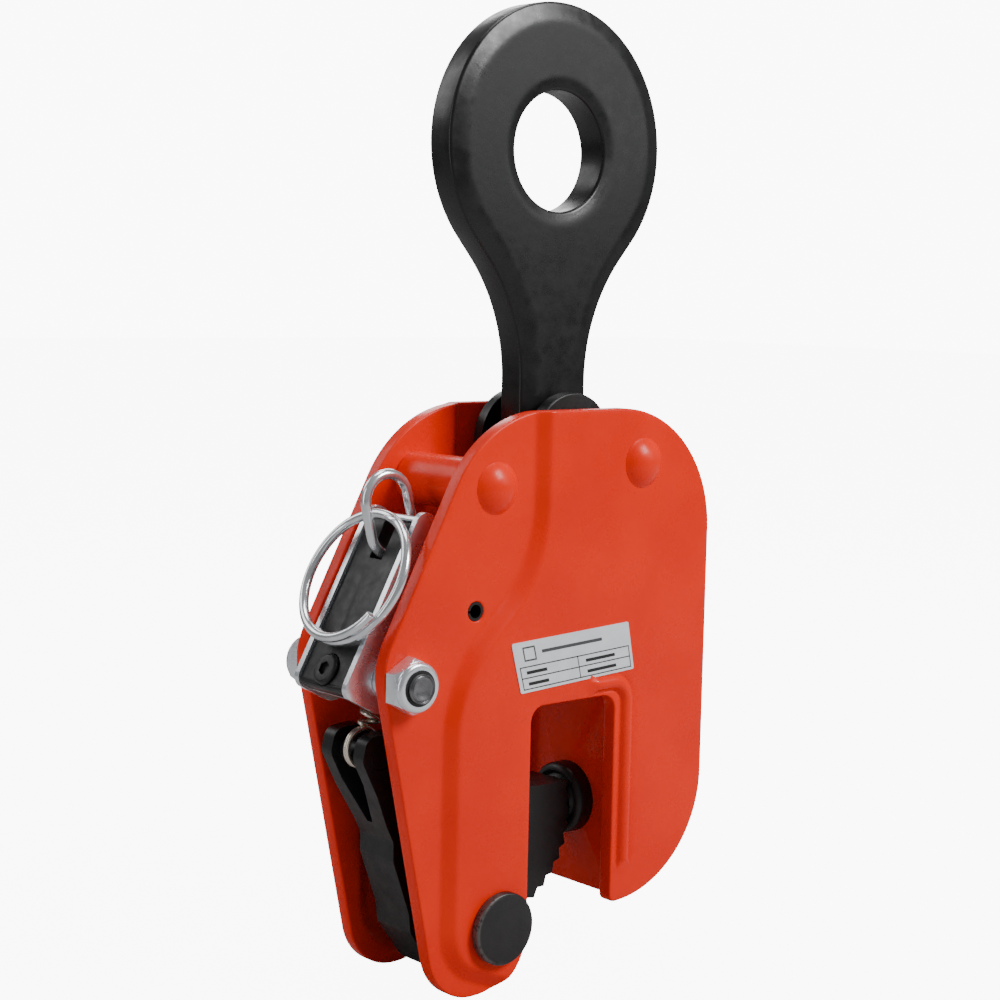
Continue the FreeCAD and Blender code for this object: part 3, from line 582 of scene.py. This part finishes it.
def slab(loops, front, back, rim, grid, finer=(), rim_steps=4):
    """A plate with rounded edges between two height functions of (x, z).
    loops are outlines, the first the outer one; finer are (polyline, half width, spacing)."""
    normals = [inward(loop, i > 0) for i, loop in enumerate(loops)]
    inner = [loop + normal * rim for loop, normal in zip(loops, normals)]
    low = loops[0].min(0)
    high = loops[0].max(0)
    clouds = []
    xs = np.arange(low[0], high[0], grid)
    zs = np.arange(low[1], high[1], grid * 0.866)
    gx, gz = np.meshgrid(xs, zs)
    gx = gx + (np.arange(len(zs)) % 2)[:, None] * grid / 2
    coarse = np.stack([gx.ravel(), gz.ravel()], 1)
    for line, half, spacing in finer:
        d, _ = distance_to(coarse, line, False)
        coarse = coarse[d > half + spacing * 0.8]
        step = np.linalg.norm(np.roll(line, -1, 0) - line, axis=1)[:-1]
        run = np.concatenate([[0], np.cumsum(step)])
        count = int(run[-1] / spacing)
        s = np.linspace(0, run[-1], count)
        px = np.interp(s, run, line[:, 0])
        pz = np.interp(s, run, line[:, 1])
        tx = np.gradient(px)
        tz = np.gradient(pz)
        norm = np.sqrt(tx ** 2 + tz ** 2)
        rows = int(round(2 * half / spacing))
        for j in range(rows + 1):
            off = -half + 2 * half * j / rows
            clouds.append(np.stack([px - tz / norm * off, pz + tx / norm * off], 1))
    clouds.append(coarse)
    cloud = np.concatenate(clouds)
    keep = inside(cloud, inner[0])
    for hole in inner[1:]:
        keep &= ~inside(cloud, hole)
    cloud = cloud[keep]
    for loop in inner:
        d, _ = distance_to(cloud, loop)
        cloud = cloud[d > min(grid, 2.0) * 0.45]
    boundary = np.concatenate(inner)
    flat = np.concatenate([boundary, cloud])
    edges = []
    base = 0
    for loop in inner:
        n = len(loop)
        edges += [(base + i, base + (i + 1) % n) for i in range(n)]
        base += n
    out = delaunay_2d_cdt([Vector(p) for p in flat], edges, [], 0, 1e-5)
    points = np.array([tuple(v) for v in out[0]])
    tris = np.array(out[2])
    origin = {}
    for new, olds in enumerate(out[3]):
        for old in olds:
            origin[old] = new
    middle = points[tris].mean(1)
    good = inside(middle, inner[0])
    for hole in inner[1:]:
        good &= ~inside(middle, hole)
    tris = tris[good]
    n = len(points)
    yf = front(points)
    yb = back(points)
    verts = [(p[0], y, p[1]) for p, y in zip(points, yf)]
    verts += [(p[0], y, p[1]) for p, y in zip(points, yb)]
    faces = [tuple(t) for t in tris] + [tuple(n + i for i in reversed(t)) for t in tris]
    base = 0
    for loop, normal, ring in zip(loops, normals, inner):
        m = len(loop)
        top = [origin[base + i] for i in range(m)]
        base += m
        rows = [top]
        for k in range(1, rim_steps + 1):
            a = math.pi / 2 * k / rim_steps
            p = loop + normal * rim * (1 - math.sin(a))
            y = front(ring) + rim * (1 - math.cos(a))
            start = len(verts)
            verts += [(q[0], h, q[1]) for q, h in zip(p, y)]
            rows.append(list(range(start, start + m)))
        for k in range(rim_steps, 0, -1):
            a = math.pi / 2 * k / rim_steps
            p = loop + normal * rim * (1 - math.sin(a))
            y = back(ring) - rim * (1 - math.cos(a))
            start = len(verts)
            verts += [(q[0], h, q[1]) for q, h in zip(p, y)]
            rows.append(list(range(start, start + m)))
        rows.append([n + i for i in top])
        for r0, r1 in zip(rows, rows[1:]):
            for i in range(m):
                j = (i + 1) % m
                faces.append((r0[i], r0[j], r1[j], r1[i]))
    return verts, faces


def drop_loose(mesh):
    bm = bmesh.new()
    bm.from_mesh(mesh)
    loose = [v for v in bm.verts if not v.link_faces]
    bmesh.ops.delete(bm, geom=loose, context="VERTS")
    bmesh.ops.recalc_face_normals(bm, faces=bm.faces)
    bm.to_mesh(mesh)
    bm.free()


# ---- side plates -----------------------------------------------------------------------
def joggle_line():
    """The middle of the sloped step in the side plates, from top to bottom."""
    bend = math.radians(46.0)
    pts = [(-49.0, -120.0), (-49.0, -258.0)]
    c = (-157.0, -258.0)
    for k in range(1, 25):
        a = -bend * k / 24
        pts.append((c[0] + 108 * math.cos(a), c[1] + 108 * math.sin(a)))
    x, z = pts[-1]
    x -= 27.0 * math.sin(bend)
    z -= 27.0 * math.cos(bend)
    pts.append((x, z))
    c = (x + 100 * math.cos(bend), z - 100 * math.sin(bend))
    for k in range(1, 25):
        a = math.pi - bend + bend * k / 24
        pts.append((c[0] + 100 * math.cos(a), c[1] + 100 * math.sin(a)))
    left = pts[-1][0]
    pts.append((left, -566.0))
    c = (left + 40.0, -566.0)
    for k in range(1, 19):
        a = math.pi + math.radians(68.0) * k / 18
        pts.append((c[0] + 40 * math.cos(a), c[1] + 40 * math.sin(a)))
    x, z = pts[-1]
    pts.append((x + 60 * math.sin(math.radians(68.0)), z - 60 * math.cos(math.radians(68.0))))
    return np.array(pts)


def densify(path, step):
    out = []
    for a, b in zip(path, path[1:]):
        n = max(1, int(np.linalg.norm(b - a) / step))
        for k in range(n):
            out.append(a + (b - a) * k / n)
    out.append(path[-1])
    return np.array(out)


JOGGLE = joggle_line()
BEAD_X = 39.8
BEAD_Z = -399.4
BEAD_R = 16.0
BEAD = [(BEAD_X, -540.0), (BEAD_X, BEAD_Z - BEAD_R)]
for step_k in range(1, 13):
    angle = math.pi / 2 * step_k / 12
    BEAD.append((BEAD_X - BEAD_R + BEAD_R * math.cos(angle), BEAD_Z - BEAD_R + BEAD_R * math.sin(angle)))
BEAD.append((6.5, BEAD_Z))
BEAD = np.array(BEAD)


def soft_step(x, half, round_mm):
    """A straight ramp from 0 to 1 between -half and half, with its two corners rounded."""
    def knee(t):
        return (t + np.sqrt(t * t + round_mm * round_mm)) / 2

    return (knee(x + half) - knee(x - half)) / (2 * half)


def plate_step(points):
    """How far a side plate stands out at each point, from the joggle."""
    d, side = distance_to(points, JOGGLE, False)
    return JOGGLE_STEP * soft_step(d * side, JOGGLE_WIDTH / 2, 1.5)


def plate_bead(points):
    d, _ = distance_to(points, BEAD, False)
    height = np.sqrt(np.maximum(6.0 ** 2 - d * d, 0)) - 2.2
    trough = -0.7 * np.clip(1 - np.abs(d - 6.6) / 1.6, 0, 1)
    return np.where(d < 5.5, height, trough)


PLATE_LOOP = rounded_loop(PLATE_CORNERS, 2.5)
PLATE_HOLES = [
    circle_loop(LEFT_STUD, 9.6, 2.5), circle_loop(RIGHT_STUD, 9.6, 2.5), circle_loop(CAM_PIVOT, 18.1, 2.5),
    circle_loop(LEVER_AXIS, 10.6, 1.6), circle_loop(STOP_PIN, 7.05, 0.9),
]
plate_verts, plate_faces = slab(
    [PLATE_LOOP] + PLATE_HOLES,
    lambda p: -(OUTER_NARROW + plate_step(p) + plate_bead(p)),
    lambda p: -(GAP_HALF + plate_step(p)),
    1.4, 7.0,
    finer=[(densify(JOGGLE, 1.5), 8.4, 1.2), (densify(BEAD, 1.0), 8.0, 0.7)],
)
for side_name, flip in (("front", 1), ("rear", -1)):
    mesh = mesh_from(side_name + "_plate", [(x, y * flip, z) for x, y, z in plate_verts], plate_faces)
    drop_loose(mesh)
    finish_mesh(side_name + "_plate_finish", mesh, ORANGE, "frame",
                (side_name + "_side_plate",), sharp_deg=50.0)


# ---- lifting eye -----------------------------------------------------------------------
def eye_outline(step):
    """The pear outline of the forging: ring, flanks, hollow waist and shank end."""
    flank = math.radians(41.0)
    right = []
    top = 90.0
    for k in range(0, 61):
        a = math.radians(top - (top + 41.0) * k / 60)
        right.append((106 * math.cos(a), 4 + 106 * math.sin(a)))
    x0, z0 = right[-1]
    meet_z = z0 - (x0 - 33.0) / math.tan(flank)
    r = 140.0
    reach = r * math.tan(flank / 2)
    centre = (33.0 + r, meet_z - reach)
    for k in range(0, 31):
        a = math.pi - flank + flank * k / 30
        right.append((centre[0] + r * math.cos(a), centre[1] + r * math.sin(a)))
    a0 = math.acos(33.0 / 37.0)
    for k in range(0, 31):
        a = a0 + (-math.pi / 2 - a0) * k / 30
        right.append((37 * math.cos(a), EYE_PIN_Z + 37 * math.sin(a)))
    left = [(-x, z) for x, z in reversed(right[1:-1])]
    path = np.array(right + left)
    return densify(np.concatenate([path, path[:1]]), step)[:-1]


EYE_LOOP = eye_outline(2.5)
EYE_BORE = circle_loop((0.0, 0.0), 45.0, 2.0)
EYE_PIN_HOLE = circle_loop((0.0, EYE_PIN_Z), 14.05, 2.0)


def eye_depth(points):
    """How far the eye's face falls away in the broad chamfers at its outer edge and its hole."""
    outer, _ = distance_to(points, EYE_LOOP)
    bore, _ = distance_to(points, EYE_BORE)

    def chamfer(d, wide, deep, knee):
        t = wide - d
        return deep / wide * (t + np.sqrt(t * t + knee * knee) - knee * 0.25) / 2

    fall = chamfer(outer, 13.5, 4.1, 3.2) + chamfer(bore, 9.5, 2.3, 2.6)
    return np.clip(fall - 0.12, 0.0, 4.4)


eye_verts, eye_faces = slab(
    [EYE_LOOP, EYE_BORE, EYE_PIN_HOLE],
    lambda p: -15.0 + eye_depth(p), lambda p: 15.0 - eye_depth(p), 2.4, 3.2,
)
eye_mesh = mesh_from("eye", eye_verts, eye_faces)
drop_loose(eye_mesh)
finish_mesh("lifting_eye_forging", eye_mesh, BLACK_EYE, "lifting_eye", ("lifting_eye",),
            sharp_deg=60.0)


# ---- hard-edged pieces with broken edges -------------------------------------------------
for node_name, width in (
    ("link_plate_front", 0.9), ("link_plate_rear", 0.9), ("jaw_block", 1.5), ("cam", 0.9),
    ("lever_channel", 0.8), ("lever_core", 0.8), ("eye_cross_pin", 0.6),
    ("lever_washer_front", 0.6), ("lever_washer_rear", 0.6), ("lever_screw", 0.3),
    ("lever_nut_front", 0.5), ("lever_nut_rear", 0.5), ("fork_cross_pin", 0.8), ("link_cross_pin", 0.8),
    ("spring_anchor_pin", 0.6), ("cam_bush_front", 0.7), ("cam_bush_rear", 0.7), ("left_spacer_tube", 0.7),
):
    bevelled(node_name, width)


# ---- domed studs -------------------------------------------------------------------------
def dome_profile(radius, height, steps=20):
    ball = (radius ** 2 + height ** 2) / (2 * height)
    out = [(0.0, radius), (0.35, radius)]
    for k in range(steps + 1):
        r = radius * (1 - k / steps)
        along = math.sqrt(ball ** 2 - r ** 2) - (ball - height)
        out.append((max(along, 0.35), max(r, 0.0)))
    return out


DOME_RADIUS = 19.0
DOME_HEIGHT = 8.5
STUD_SHANK_RADIUS = 9.5
for node_name, at, face in (
    ("left_domed_stud", LEFT_STUD, OUTER_NARROW),
    ("right_domed_stud", RIGHT_STUD, OUTER_WIDE),
):
    profile = dome_profile(DOME_RADIUS, DOME_HEIGHT)
    shank_profile = [(0.0, STUD_SHANK_RADIUS), (2 * face, STUD_SHANK_RADIUS)]
    shank = lathe((at[0], -face, at[1]), (0, 1, 0), shank_profile, 48)
    front = lathe((at[0], -face, at[1]), (0, -1, 0), profile)
    rear = lathe((at[0], face, at[1]), (0, 1, 0), profile)
    verts, faces = merged([shank, front, rear])
    finish_mesh(node_name + "_finish", mesh_from(node_name, verts, faces), ORANGE, "frame",
                (node_name,))


# ---- cam pin buttons ---------------------------------------------------------------------
def button_profile(radius, height, round_r=1.6):
    out = [(0.0, radius - 0.5), (0.5, radius)]
    for k in range(7):
        a = math.pi / 2 * k / 6
        out.append((height - round_r + round_r * math.sin(a), radius - round_r + round_r * math.cos(a)))
    out += [(height, radius * 0.6), (height - 0.15, radius * 0.3), (height - 0.15, 0.0)]
    return out


BUTTON_RADIUS = 27.0
BUTTON_HEIGHT = 6.5
CAM_PIN_RADIUS = 18.0
button_y = OUTER_WIDE + 0.35
button_front = (CAM_PIVOT[0], -button_y, CAM_PIVOT[1])
front_button = lathe(button_front, (0, -1, 0), button_profile(BUTTON_RADIUS, BUTTON_HEIGHT))
shank_profile = [(0.0, CAM_PIN_RADIUS), (2 * button_y - 0.5, CAM_PIN_RADIUS)]
pin_shank = lathe(button_front, (0, 1, 0), shank_profile)
verts, faces = merged([front_button, pin_shank])
finish_mesh("cam_pin_finish", mesh_from("cam_pin", verts, faces), BUTTON, "frame",
            ("cam_pin",))
button_rear = (CAM_PIVOT[0], button_y, CAM_PIVOT[1])
verts, faces = lathe(button_rear, (0, 1, 0), button_profile(BUTTON_RADIUS, BUTTON_HEIGHT))
finish_mesh("cam_cap_finish", mesh_from("cam_cap", verts, faces), BUTTON, "frame",
            ("cam_pin_cap",))


# ---- lever bolt with threads ---------------------------------------------------------------
def thread_rows(start, stop, crest, pitch=2.2, depth=1.1):
    rows = []
    s = start
    while s < stop:
        rows += [(s, crest - depth), (s + pitch * 0.5, crest)]
        s += pitch
    rows.append((stop, crest - depth))
    return rows


bolt_end = OUTER_NARROW + 19.4
half_bolt = [
    (bolt_end - 0.9, 0.0), (bolt_end - 0.9, 5.6), (bolt_end, 7.2), (bolt_end, 8.3), (bolt_end - 0.4, 8.7),
]
half_bolt += reversed(thread_rows(34.0, bolt_end - 0.9, 10.45))
half_bolt += [(33.0, 10.5), (25.6, 10.5), (25.4, 8.6)]
bolt_profile = [(-along, radius) for along, radius in half_bolt] + half_bolt[::-1]
turned("lever_bolt_finish", (LEVER_AXIS[0], 0, LEVER_AXIS[1]), (0, 1, 0), bolt_profile, DARK_STEEL, "frame",
       ("lever_bolt",))


# ---- lock spring ---------------------------------------------------------------------------
SPRING_WIRE = 1.9
SPRING_HOOK_RADIUS = 14.4
SPRING_COIL_RADIUS = 7.4
SPRING_COIL_PITCH = 8.3
PATH_STEP = 1.2


def spring_path():
    """The spring's wire: a double hook ring round the fork pin, an open coil and a hook at the anchor."""
    low = Vector((FORK_PIN[0], 0, FORK_PIN[1]))
    high = on_lever(88.2, -3.6)
    axis = (high - low).normalized()
    length = (high - low).length
    side = Vector((0, 1, 0))
    across = axis.cross(side)
    hook_at = low + axis * 3.5
    start, stop = 19.5, length - 17.0
    turns = round((stop - start) / SPRING_COIL_PITCH * 2) / 2
    pts = []
    for k in range(96):
        a = math.pi * (0.42 - 3.84 * k / 95)
        shift = -2.0 + 4.0 * k / 95
        pts.append(hook_at + (axis * math.sin(a) + across * math.cos(a)) * SPRING_HOOK_RADIUS + side * shift)
    n = int(turns * 28)
    for k in range(n + 1):
        a = 2 * math.pi * turns * k / n
        grow = min(1.0, (k + 3) / 7.0, (n - k) / 16.0)
        radial = (across * math.cos(a) + side * math.sin(a)) * SPRING_COIL_RADIUS * (0.4 + 0.6 * grow)
        pts.append(low + axis * (start + (stop - start) * k / n) + radial)
    for k in range(41):
        a = math.pi * (-0.62 + 1.7 * k / 40)
        pts.append(high + (axis * math.sin(a) + across * math.cos(a)) * 6.2)
    return pts


def dense_path(points, closed=False):
    """The same path with a point at least every PATH_STEP millimetres or so."""
    ends = points[1:] + points[:1] if closed else points[1:]
    out = []
    for a, b in zip(points, ends):
        n = max(1, int((b - a).length / PATH_STEP))
        out += [a + (b - a) * k / n for k in range(n)]
    return out if closed else out + [points[-1]]


def smooth_path(points, rounds):
    """Each round moves every inner point halfway towards the middle of its neighbours."""
    pts = [Vector(p) for p in points]
    for _ in range(rounds):
        inner = [(pts[i - 1] + pts[i] * 2 + pts[i + 1]) / 4 for i in range(1, len(pts) - 1)]
        pts = [pts[0]] + inner + [pts[-1]]
    return pts


verts, faces = tube(smooth_path(dense_path(spring_path()), 8), SPRING_WIRE, 14, end_round=0.5)
finish_mesh("lock_spring_coil", mesh_from("spring", verts, faces), NICKEL, "lock_spring",
            ("lock_spring",))


# ---- pull ring and chain link ----------------------------------------------------------------
RING_WIRE = 3.6
RING_RADIUS = 49.0
RING_PITCH = 7.4
RING_TURNS = 1.22
LINK_WIRE = 3.9
LINK_HALF_WIDTH, LINK_HALF_HEIGHT = 19.0, 30.0
LINK_CENTRE = (-146.5, -267.0)
LINK_LEAN = math.radians(14.0)


def ring_path():
    """A little more than one turn of wire, so that its ends lie side by side."""
    n = 220
    pts = []
    for k in range(n + 1):
        turned_by = RING_TURNS * k / n
        a = math.radians(158.0) + 2 * math.pi * turned_by
        flat = LU * math.cos(a) + LN.cross(LU) * math.sin(a)
        pts.append(on_lever(59.5, 34.95 + RING_PITCH * turned_by) + flat * RING_RADIUS)
    return pts


verts, faces = tube(ring_path(), RING_WIRE, 24, end_round=0.4)
finish_mesh("split_ring_wire", mesh_from("ring", verts, faces), ZINC_WIRE, "split_ring",
            ("split_ring",))


def link_path():
    """An oval of two half circles and two straight sides, leaning to one side."""
    straight = LINK_HALF_HEIGHT - LINK_HALF_WIDTH
    pts = []
    for start, rise in ((0.0, straight), (math.pi, -straight)):
        for k in range(60):
            a = start + math.pi * k / 59
            pts.append(Vector((LINK_HALF_WIDTH * math.cos(a), rise + LINK_HALF_WIDTH * math.sin(a))))
    out = []
    for p in dense_path(pts, closed=True):
        x = p.x * math.cos(LINK_LEAN) - p.y * math.sin(LINK_LEAN)
        z = p.x * math.sin(LINK_LEAN) + p.y * math.cos(LINK_LEAN)
        out.append(Vector((LINK_CENTRE[0] + x, 0, LINK_CENTRE[1] + z)))
    return out


verts, faces = tube(link_path(), LINK_WIRE, 24, closed=True)
finish_mesh("chain_link_wire", mesh_from("link", verts, faces), ZINC_WIRE, "chain_link",
            ("chain_link",))


# ---- rating plate print ------------------------------------------------------------------------
LABEL_CORNERS = [Vector(c) for c in ((-69.5, -397.5), (46.0, -391.3), (38.5, -354.0), (-80.0, -359.5))]
LABEL_W, LABEL_H = 116.0, 37.5
LABEL_Y = -(OUTER_WIDE + 0.62)
LABEL_LINE = 0.8
LABEL_BAR = 2.4


def on_label(u, v):
    """A point of the label's face from its lower left corner, along its own slanted sides."""
    s, t = u / LABEL_W, v / LABEL_H
    low = LABEL_CORNERS[0].lerp(LABEL_CORNERS[1], s)
    high = LABEL_CORNERS[3].lerp(LABEL_CORNERS[2], s)
    return low.lerp(high, t)


def label_box(u0, u1, v0, v1, lift=0.06):
    """A thin raised print in the label's own axes."""
    corners = []
    for y in (LABEL_Y, LABEL_Y - lift):
        for u, v in ((u0, v0), (u1, v0), (u1, v1), (u0, v1)):
            at = on_label(u, v)
            corners.append(Vector((at.x, y, at.y)))
    faces = [(0, 1, 2, 3), (4, 5, 6, 7), (0, 1, 5, 4), (1, 2, 6, 5), (2, 3, 7, 6), (3, 0, 4, 7)]
    return corners, faces


def label_frame(u0, u1, v0, v1, width):
    """A hollow box of four printed lines."""
    return [
        label_box(u0, u1, v0, v0 + width),
        label_box(u0, u1, v1 - width, v1),
        label_box(u0, u0 + width, v0 + width, v1 - width),
        label_box(u1 - width, u1, v0 + width, v1 - width),
    ]


row1, row2, split = 18.4, 10.2, 60.0
left_u, right_u, low_v = 3.2, LABEL_W - 2.6, 2.0
black = [label_box(left_u, right_u, v, v + LABEL_LINE) for v in (low_v, row2, row1)]
for u in (left_u, split, right_u - LABEL_LINE):
    black.append(label_box(u, u + LABEL_LINE, low_v, row1 + LABEL_LINE))
# One plain bar stands in each of the table's four fields.
for v in (13.2, 4.8):
    for u, length in ((9.0, 20.0), (68.0, 30.0)):
        black.append(label_box(u, u + length, v, v + LABEL_BAR))
verts, faces = merged(black)
finish_mesh("rating_print", mesh_from("print", verts, faces), INK, "frame")
# A hollow square and one bar fill the heading.
header = label_frame(9.0, 21.0, 22.8, 33.6, 1.2) + [label_box(27.0, 87.0, 27.0, 27.0 + LABEL_BAR)]
verts, faces = merged(header)
finish_mesh("rating_emblem", mesh_from("emblem", verts, faces), INK_GREY, "frame")


# ---- floor, light and camera ---------------------------------------------------------------------
def seen_directly(tree, low, high):
    """A strength that is high where the camera sees the backdrop and low where it lights the object."""
    rays = tree.nodes.new("ShaderNodeLightPath")
    spread = tree.nodes.new("ShaderNodeMapRange")
    spread.inputs["To Min"].default_value = low
    spread.inputs["To Max"].default_value = high
    tree.links.new(rays.outputs["Is Camera Ray"], spread.inputs["Value"])
    return spread.outputs["Result"]


FLOOR_HALF = 14.0
FLOOR_GLOW = 9.0
WORLD_LIGHT = 0.24
WORLD_SEEN = 9.8


def stage_floor():
    """A floor under the object's lowest point: mid grey as a surface, pale where it is seen directly."""
    low_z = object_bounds()[0][2]
    mesh = bpy.data.meshes.new("floor")
    s = FLOOR_HALF
    mesh.from_pydata([(-s, -s, low_z), (s, -s, low_z), (s, s, low_z), (-s, s, low_z)], [], [(0, 1, 2, 3)])
    floor = bpy.data.objects.new("floor", mesh)
    bpy.context.scene.collection.objects.link(floor)
    m = Mat("floor_paper")
    m.set(Base_Color=m.mix(m.noise(3.0), (0.42, 0.42, 0.42), (0.46, 0.46, 0.46)), Roughness=0.95,
          Emission_Color=(1.0, 1.0, 1.0), Emission_Strength=seen_directly(m.tree, 0.0, FLOOR_GLOW))
    paint(floor, m.mat)


stage_floor()

world = bpy.data.worlds.new("studio")
bpy.context.scene.world = world
world.use_nodes = True
sky = world.node_tree.nodes["Background"]
sky.inputs["Color"].default_value = (1.0, 1.0, 1.0, 1.0)
world.node_tree.links.new(seen_directly(world.node_tree, WORLD_LIGHT, WORLD_SEEN), sky.inputs["Strength"])


def area_light(name, at, aim, size, power, size_y=None):
    data = bpy.data.lights.new(name, "AREA")
    data.shape = "RECTANGLE"
    data.size = size
    data.size_y = size_y or size
    data.energy = power
    light = bpy.data.objects.new(name, data)
    light.location = at
    light.rotation_euler = (Vector(aim) - Vector(at)).to_track_quat("-Z", "Y").to_euler()
    bpy.context.scene.collection.objects.link(light)


centre = Vector((-0.04, 0.0, -0.28))
area_light("key", (1.15, -2.15, 1.5), centre, 1.1, 82.0)
area_light("top", (0.3, 0.2, 2.0), centre, 1.2, 26.0)
area_light("left_strip", (-2.2, 0.1, 0.1), centre, 0.6, 9.0, 2.0)
area_light("eye_sheen", (1.45, -1.55, 0.42), (0.0, 0.0, -0.05), 0.8, 3.4)
area_light("back_left", (-1.2, 2.0, 1.3), centre, 1.4, 15.0)
area_light("back_right", (1.4, 1.7, 0.9), centre, 1.2, 16.0)

CAMERA_LENS = 71.9
CAMERA_SENSOR = 36.0
CAMERA_AZIMUTH, CAMERA_ELEVATION, CAMERA_ROLL = 41.12, 6.15, 1.21
CAMERA_TARGET = (-0.0412, 0.0, -0.26204)
CAMERA_DISTANCE = 1.5089

camera_data = bpy.data.cameras.new("camera")
camera_data.lens = CAMERA_LENS
camera_data.sensor_width = CAMERA_SENSOR
camera = bpy.data.objects.new("camera", camera_data)
azimuth, elevation, roll = (math.radians(v) for v in (CAMERA_AZIMUTH, CAMERA_ELEVATION, CAMERA_ROLL))
back = Vector((-math.sin(azimuth) * math.cos(elevation), -math.cos(azimuth) * math.cos(elevation),
               math.sin(elevation)))
right = Vector((math.cos(azimuth), -math.sin(azimuth), 0.0))
up = back.cross(right)
cam_x = right * math.cos(roll) + up * math.sin(roll)
cam_y = up * math.cos(roll) - right * math.sin(roll)
place = Matrix((cam_x, cam_y, back)).transposed().to_4x4()
place.translation = Vector(CAMERA_TARGET) + back * CAMERA_DISTANCE
camera.matrix_world = place
bpy.context.scene.collection.objects.link(camera)
bpy.context.scene.camera = camera
